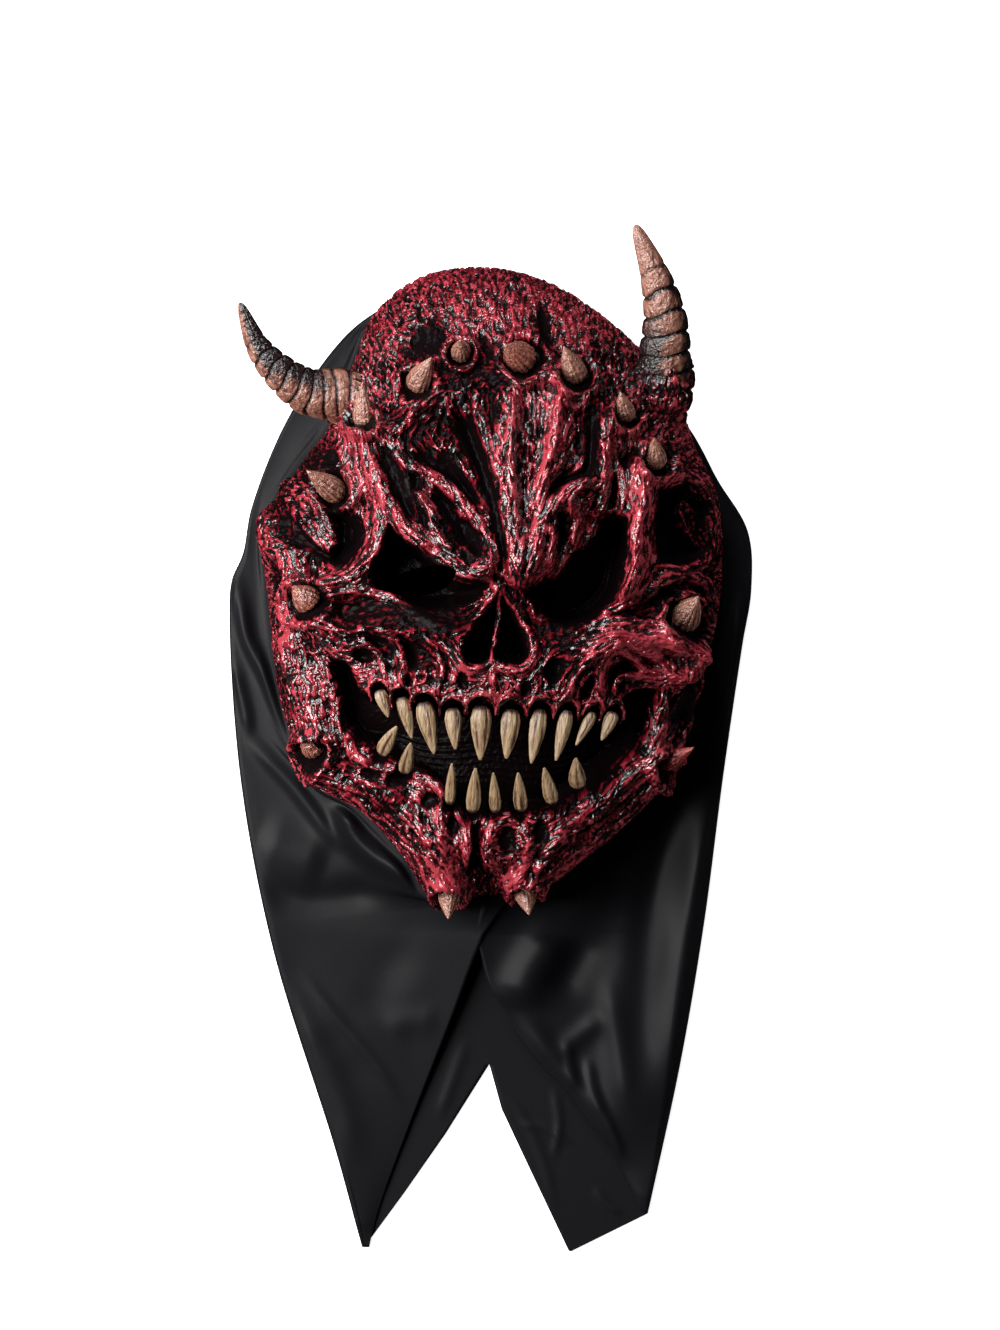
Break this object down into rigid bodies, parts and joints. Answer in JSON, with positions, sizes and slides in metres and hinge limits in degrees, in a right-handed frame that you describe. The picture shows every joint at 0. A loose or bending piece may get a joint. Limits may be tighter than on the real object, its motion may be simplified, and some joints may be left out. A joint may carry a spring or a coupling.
{
  "type": "devil mask",
  "caption": "Latex devil skull mask with curved ringed horns, spikes and bared teeth, and a black cloth hood for the back of the head, lying face up.",
  "frame": {"origin": "middle of the bounding box's underside, on the surface the mask lies on", "axes": "+Z out of the face, +Y towards the crown and horns, +X to the right of someone looking at the face"},
  "size_m": [0.2343, 0.452, 0.1053],
  "materials": {
    "painted_latex": "semi-gloss, crimson dry-brushed over black",
    "black_cloth": "matt woven polyester"
  },
  "bodies": {
    "root": {"latex_mask": "painted_latex", "cloth_hood": "black_cloth"}
  },
  "joints": []
}
